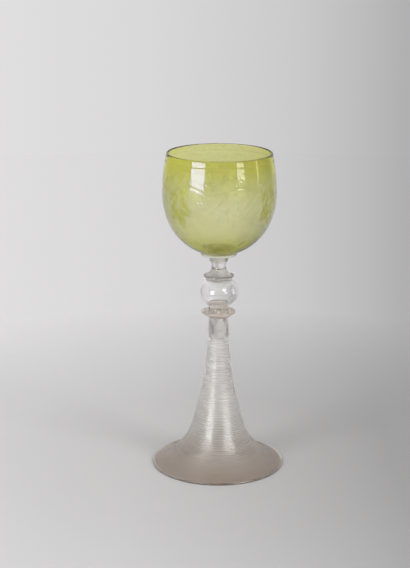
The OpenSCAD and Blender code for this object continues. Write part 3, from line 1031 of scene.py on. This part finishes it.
clear_glass = stem_glass("clear_glass", WHITE, 1, (0, 0.04))
drop_glass = stem_glass("drop_glass", WHITE, 0.93, (0, 0.04), ior=DROP_IOR)
disc_glass = stem_glass("disc_glass", (1, 0.995, 0.985), 0.92, (0.03, 0.1))
# Painted light: the pad's milky cream colour stands in for the bowl's light bent through it.
pad_glass_painted_light = stem_glass("pad_glass_painted_light", (1, 1, 0.86), 0.72, (0.02, 0.08))
bead_glass = stem_glass("bead_glass", (0.89, 0.885, 0.83), 0.95, (0, 0.04))
warm_glass = stem_glass("warm_glass", (0.995, 0.965, 0.935), 0.95, (0.02, 0.1))
collar_glass = stem_glass("collar_glass", (0.98, 0.91, 0.84), 0.8, (0.213, 0.311),
                          tint=(0.55, 0.35, 0.1), density=14, grain=160, waves=(220, 0.2))
print("clear glasses: seven for the stem, from clear through milky to warm")

# %% Mix the foot's glasses
# The rim's colour is partly the glass's brownish tint and partly painted shade, darker low in the flare.
RIM_TINT_AND_SHADE, FOOT_TINT = (0.862, 0.803, 0.748), (1, 0.994, 0.98)
TINT_TO, MILKY_TO = 26, 85  # millimetres high
RIM_CLEAR, MILKY_CLEAR = 0.97, 0.82
DULL_FROM, DULL_TO = 7, 20
TOP_FROM, TOP_TO = 91, 97
TOP_CLEARER, TOP_GLOSSIER = 0.18, -0.12
FINE_GRAIN = 2500  # features in a metre
THREAD_IOR = 1.2


def smoky_glass(name, dull_low, dull_high, ior=GLASS_IOR):
    """The foot's glass: brown tint and painted shade at the rim, milkier upwards, and clear at its top."""
    material, shader = glass(name, (0.8, 0.7, 0.6), 14, ior)
    links = material.node_tree.links
    tint_and_shade = two_tone(material, up_from(material, 0, TINT_TO), RIM_TINT_AND_SHADE, FOOT_TINT)
    links.new(tint_and_shade, shader.inputs["Base Color"])
    top = up_from(material, TOP_FROM, TOP_TO)
    clearness = spread(material, up_from(material, 0, MILKY_TO), RIM_CLEAR, MILKY_CLEAR)
    clearness = join(material, "ADD", clearness, spread(material, top, 0, TOP_CLEARER))
    links.new(clearness, shader.inputs["Transmission Weight"])
    dull = spread(material, up_from(material, DULL_FROM, DULL_TO), dull_low, dull_high)
    grain = spread(material, noise(material, FINE_GRAIN), -0.03, 0.03, 0.3, 0.7)
    dull = join(material, "ADD", join(material, "ADD", dull, grain), spread(material, top, 0, TOP_GLOSSIER))
    links.new(dull, shader.inputs["Roughness"])
    ripple(material, shader, noise(material, 70, stretch=(1, 1, 0.5)), depth=0.4, strength=0.12)
    return material


foot_glass = smoky_glass("foot_glass", 0.14, 0.14)
thread_glass = smoky_glass("thread_glass", 0.24, 0.312, THREAD_IOR)
print("foot's glasses: one for the trumpet, and a duller one for the thread")


# %% [markdown]
# ## Put each piece in the frame
#
# Every piece rides on the one body that this glass is, takes its material, and hides the CAD node that it
# replaces.

# %% Seat the pieces
def seat(piece, node, material):
    piece.data.materials.clear()
    piece.data.materials.append(material)
    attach(piece, "root")
    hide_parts(node)


seat(bowl, "bowl", green_glass)
seat(pad, "bowl_pad", pad_glass_painted_light)
seat(bead_ring, "neck_ring", bead_glass)
seat(neck, "stem_neck", clear_glass)
seat(upper_disc, "upper_collar", disc_glass)
seat(thin_ring, "knop_ring", disc_glass)
seat(ball, "ball_knop", clear_glass)
seat(lower_disc, "lower_collar", collar_glass)
seat(disc_neck, "lower_collar", warm_glass)
seat(foot, "foot", foot_glass)
seat(thread, "foot_thread", thread_glass)
for number, drop in enumerate(drops, 1):
    seat(drop, f"tear_drop_{number}", drop_glass)


# %% [markdown]
# ## The paper
#
# Glass shows what stands round it, so the studio matters as much as the shapes. The glass stands on pale
# paper whose colour is painted lighter on the left, a painted fall-off of light, and which fades out into a
# pale room. A sheet with a hard edge would show through the glass as a line, so the paper turns transparent
# by degrees, broken up by a fine grain.

# %% Lay the paper
PAPER_R = 1.2
bpy.ops.object.select_all(action="DESELECT")
bpy.ops.mesh.primitive_circle_add(vertices=96, radius=PAPER_R, fill_type="NGON", location=(0, 0, 0))
paper = bpy.context.object
paper.name = "paper"
paper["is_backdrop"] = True
print(f"paper laid, {2 * PAPER_R} m across")

# %% Tint the paper and fade it out
# Painted light: the paper's colour goes from light on the left to darker on the right, a painted fall-off.
PAPER_PAINTED_LIGHT = [(0.0, 0.8), (0.16, 0.79), (0.36, 0.745), (0.5, 0.675), (0.62, 0.6), (0.73, 0.52),
                (0.8, 0.46), (1.0, 0.4)]  # from left to right
PAPER_SIDE = 0.2  # metres to where the shades end
PAPER_FADES, PAPER_ENDS = 0.12, 0.38  # metres from the axis
PAPER_GRAIN = 0.25  # how unevenly it fades
GREY_GREEN = 0.985  # greys hold a hair less green than red


def greys(look, value, shades, blue):
    """A ramp of greys with this share of blue."""
    ramp = look.node_tree.nodes.new("ShaderNodeValToRGB")
    stops = ramp.color_ramp.elements
    while len(stops) < len(shades):
        stops.new(0.5)
    for stop, (position, level) in zip(stops, shades):
        stop.position = position
        stop.color = (level, level * GREY_GREEN, level * blue, 1)
    look.node_tree.links.new(value, ramp.inputs["Fac"])
    return ramp.outputs["Color"]


pale_paper = bpy.data.materials.new("pale_paper")
pale_paper.use_nodes = True
nodes, links = pale_paper.node_tree.nodes, pale_paper.node_tree.links
sheet = nodes["Principled BSDF"]
sheet.inputs["Roughness"].default_value = 0.9
sheet.inputs["Specular IOR Level"].default_value = 0.1
# The paper's colour is painted lighter on the left, as painted light.
across = spread(pale_paper, way(pale_paper, "X"), 0, 1, -PAPER_SIDE, PAPER_SIDE)
links.new(greys(pale_paper, across, PAPER_PAINTED_LIGHT, 0.99), sheet.inputs["Base Color"])
place = nodes.new("ShaderNodeTexCoord")
off_axis = nodes.new("ShaderNodeVectorMath")
off_axis.operation = "LENGTH"
links.new(place.outputs["Object"], off_axis.inputs[0])
gone = spread(pale_paper, off_axis.outputs["Value"], 0, 1, PAPER_FADES, PAPER_ENDS)
uneven = spread(pale_paper, noise(pale_paper, FINE_GRAIN), -PAPER_GRAIN, PAPER_GRAIN)
air = nodes.new("ShaderNodeBsdfTransparent")
thinned = nodes.new("ShaderNodeMixShader")
links.new(join(pale_paper, "ADD", gone, uneven), thinned.inputs["Fac"])
links.new(sheet.outputs["BSDF"], thinned.inputs[1])
links.new(air.outputs["BSDF"], thinned.inputs[2])
links.new(thinned.outputs["Shader"], nodes["Material Output"].inputs["Surface"])
paper.data.materials.append(pale_paper)
print(f"paper fades out from {PAPER_FADES} to {PAPER_ENDS} m")


# %% [markdown]
# ## The room
#
# The room is a World that only the camera and the glass see: pale from side to side, with a shadow right of
# the middle and dark ends, which draw the dark edges of the glass. It is half as bright low in front of the
# glass, where a photographer would stand, and brighter overhead. Matte surfaces get a plain even light.

# %% Paint the room
WALL_SHADES = [(0.0, 0.24), (0.1, 0.3), (0.24, 0.66), (0.36, 0.74), (0.433, 0.745), (0.48, 0.7), (0.53, 0.6),
               (0.553, 0.51), (0.567, 0.44), (0.6, 0.46), (0.7, 0.64), (0.8, 0.66), (0.9, 0.32), (1.0, 0.24)]
FRONT, LOW, HIGH = (-0.55, -0.15), (0.3, 0.7), (0.25, 0.8)  # parts of a direction's Y and Z
FRONT_DIM, OVERHEAD = 0.5, 1.6
EVEN_LIGHT = 0.56
room = bpy.data.worlds.new("pale_room")
bpy.context.scene.world = room
room.use_nodes = True
nodes, links = room.node_tree.nodes, room.node_tree.links
nodes.clear()
seen = nodes.new("ShaderNodeBackground")
across = spread(room, way(room, "X", "Generated"), 0, 1, -1, 1)
links.new(greys(room, across, WALL_SHADES, 0.995), seen.inputs["Color"])
front = spread(room, way(room, "Y", "Generated"), 1, 0, *FRONT)
upward = way(room, "Z", "Generated")
low_front = join(room, "MULTIPLY", front, spread(room, upward, 1, 0, *LOW))
brightness = join(room, "MULTIPLY", spread(room, low_front, 1, FRONT_DIM),
                  spread(room, upward, 1, OVERHEAD, *HIGH))
links.new(brightness, seen.inputs["Strength"])
even = nodes.new("ShaderNodeBackground")
even.inputs["Color"].default_value = (*WHITE, 1)
even.inputs["Strength"].default_value = EVEN_LIGHT
ray = nodes.new("ShaderNodeLightPath").outputs
sees = join(room, "MAXIMUM", ray["Is Camera Ray"], ray["Is Glossy Ray"])
mixed = nodes.new("ShaderNodeMixShader")
links.new(join(room, "MAXIMUM", sees, ray["Is Transmission Ray"]), mixed.inputs["Fac"])
links.new(even.outputs["Background"], mixed.inputs[1])
links.new(seen.outputs["Background"], mixed.inputs[2])
output = nodes.new("ShaderNodeOutputWorld")
links.new(mixed.outputs["Shader"], output.inputs["Surface"])
print(f"room painted in {len(WALL_SHADES)} greys from side to side")


# %% [markdown]
# ## Lamps
#
# A lamp does different things to glass: its shape is mirrored on the outside, it is seen again through the
# wall, and it lights what is matte. One lamp that did all three would leave a second, yellow patch from the
# back of the bowl, so each lamp here is a sheen (outside alone), a glint (mirrored and seen through) or a
# glow (for matte glass alone), and light linking says which pieces it lights. Windows give the white patches
# on the bowl and the stem, broad strips the shine of the foot, and side lamps the bright edges.

# %% Make a lamp
SHEEN, GLINT, GLOW = {"glossy"}, {"glossy", "transmission"}, {"diffuse"}
LAMP_AIM = Vector((0, 0, 0.18))  # every lamp looks at the middle of the bowl


def lamp(name, kind, azimuth, away, up, size, watts, lights=None, colour=WHITE):
    """A soft lamp that faces the glass. Azimuth counts from the camera, to the right."""
    a = math.radians(azimuth)
    place = Vector((away * math.sin(a), -away * math.cos(a), up))
    bpy.ops.object.light_add(type="AREA", location=place)
    light = bpy.context.object
    light.name = name
    light.data.shape = "RECTANGLE"
    light.data.size, light.data.size_y = size
    light.data.energy, light.data.color = watts, colour
    light.rotation_euler = (LAMP_AIM - place).to_track_quat("-Z", "Y").to_euler()
    light.visible_camera = False
    light.visible_diffuse = "diffuse" in kind
    light.visible_glossy = "glossy" in kind
    light.visible_transmission = "transmission" in kind
    if lights:
        lit = bpy.data.collections.new(f"lit_by_{name}")
        for piece in lights:
            lit.objects.link(piece)
        light.light_linking.receiver_collection = lit


print(f"lamps look at a place {LAMP_AIM.z:.2f} m high")

# %% Hang the lamps
WINDOWS_AWAY, GLOWS_AWAY = 1.2, 1.15  # metres from the axis
WINDOW_BLUE = (0.58, 0.56, 1)  # so that its patch looks white on the yellow-green bowl
trumpet = [foot, thread]
below_bowl = [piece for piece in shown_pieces() if piece is not bowl]
fronts = [bowl, pad, upper_disc, thin_ring, disc_neck, lower_disc]
edges = [foot, thread, lower_disc, upper_disc, thin_ring, *drops]
lamp("left_window", SHEEN, -45, WINDOWS_AWAY, 0.3, (0.64, 0.42), 11.6, [bowl, pad], WINDOW_BLUE)
lamp("right_window", SHEEN, 43, WINDOWS_AWAY, 0.36, (0.32, 0.32), 2.1)
lamp("stem_window", GLINT, -38, WINDOWS_AWAY, 0.33, (0.5, 0.55), 7, below_bowl)
lamp("right_slit", GLINT, 84, WINDOWS_AWAY, 0.3, (0.05, 0.4), 0.25)
lamp("left_strip", GLINT, -43, WINDOWS_AWAY, 0.62, (0.9, 1.12), 7.2, trumpet)
lamp("right_strip", GLINT, 45, WINDOWS_AWAY, 0.62, (0.9, 1.12), 13.5, trumpet)
lamp("bowl_glow", GLOW, 0, GLOWS_AWAY, 0.45, (0.5, 0.5), 5.5, fronts)
lamp("pad_glow", GLOW, 0, GLOWS_AWAY, 0.34, (0.4, 0.3), 8, [pad])
lamp("ball_side", SHEEN, 95, GLOWS_AWAY, 0.17, (0.4, 0.5), 3, [ball])
lamp("left_side", GLOW, -95, GLOWS_AWAY, 0.5, (0.5, 0.5), 9, edges)
lamp("right_side", GLOW, 95, GLOWS_AWAY, 0.5, (0.5, 0.5), 9, edges)
lamp("left_glow", GLOW, -50, GLOWS_AWAY, 0.8, (0.5, 0.5), 4)
lamp("right_glow", GLOW, 52, GLOWS_AWAY, 0.8, (0.5, 0.5), 4)
print(f"{len(bpy.data.lights)} lamps hung")


# %% [markdown]
# ## The camera
#
# The photograph was taken from nearly a metre away, a little above the bowl, with a long lens. Light crosses
# many walls in a glass, so it may bounce more often than usual.

# %% Place the camera
CAMERA_PLACE = Vector((-9.15, -950.9, 385.6)) * MM
CAMERA_PITCH = 15.273  # degrees below level
CAMERA_ROLL = 0.243
FOCAL_PIXELS = 1476.6
FRAME_HEIGHT = 568  # the longer side, in pixels
GLASS_BOUNCES = 32
bpy.ops.object.camera_add(location=CAMERA_PLACE)
camera = bpy.context.object
tilt = Matrix.Rotation(math.radians(90 - CAMERA_PITCH), 3, "X")
camera.rotation_euler = (tilt @ Matrix.Rotation(math.radians(CAMERA_ROLL), 3, "Z")).to_euler()
camera.data.sensor_width = 36
camera.data.lens = FOCAL_PIXELS / FRAME_HEIGHT * camera.data.sensor_width
scene = bpy.context.scene
scene.camera = camera
scene.view_settings.view_transform = "Standard"
scene.cycles.max_bounces = GLASS_BOUNCES
scene.cycles.glossy_bounces = GLASS_BOUNCES
scene.cycles.transmission_bounces = GLASS_BOUNCES
print(f"camera: {camera.data.lens:.1f} mm lens")
